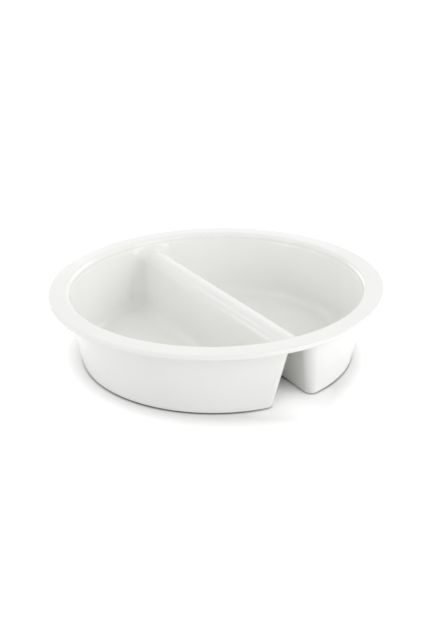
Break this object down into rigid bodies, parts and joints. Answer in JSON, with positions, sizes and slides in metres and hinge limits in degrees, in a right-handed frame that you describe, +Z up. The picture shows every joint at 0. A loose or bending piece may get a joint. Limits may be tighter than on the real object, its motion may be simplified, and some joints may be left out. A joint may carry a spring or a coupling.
{
  "type": "divided serving bowl",
  "caption": "Round serving bowl with a wide flat flange and two half-round wells, parted by a rounded divider over an open gap.",
  "frame": {"origin": "middle of the bowl at the level the feet stand on", "axes": "+Z up; the divider runs along Y; the two wells lie on -X and +X"},
  "size_m": [0.3899, 0.39, 0.0855],
  "materials": {
    "glaze": "gloss white glaze on porcelain",
    "bisque": "matt unglazed porcelain, ground flat"
  },
  "bodies": {
    "root": {"rim_flange": "glaze", "left_well": "glaze", "right_well": "glaze", "divider_bridge": "glaze", "left_foot": "bisque", "right_foot": "bisque"}
  },
  "joints": []
}
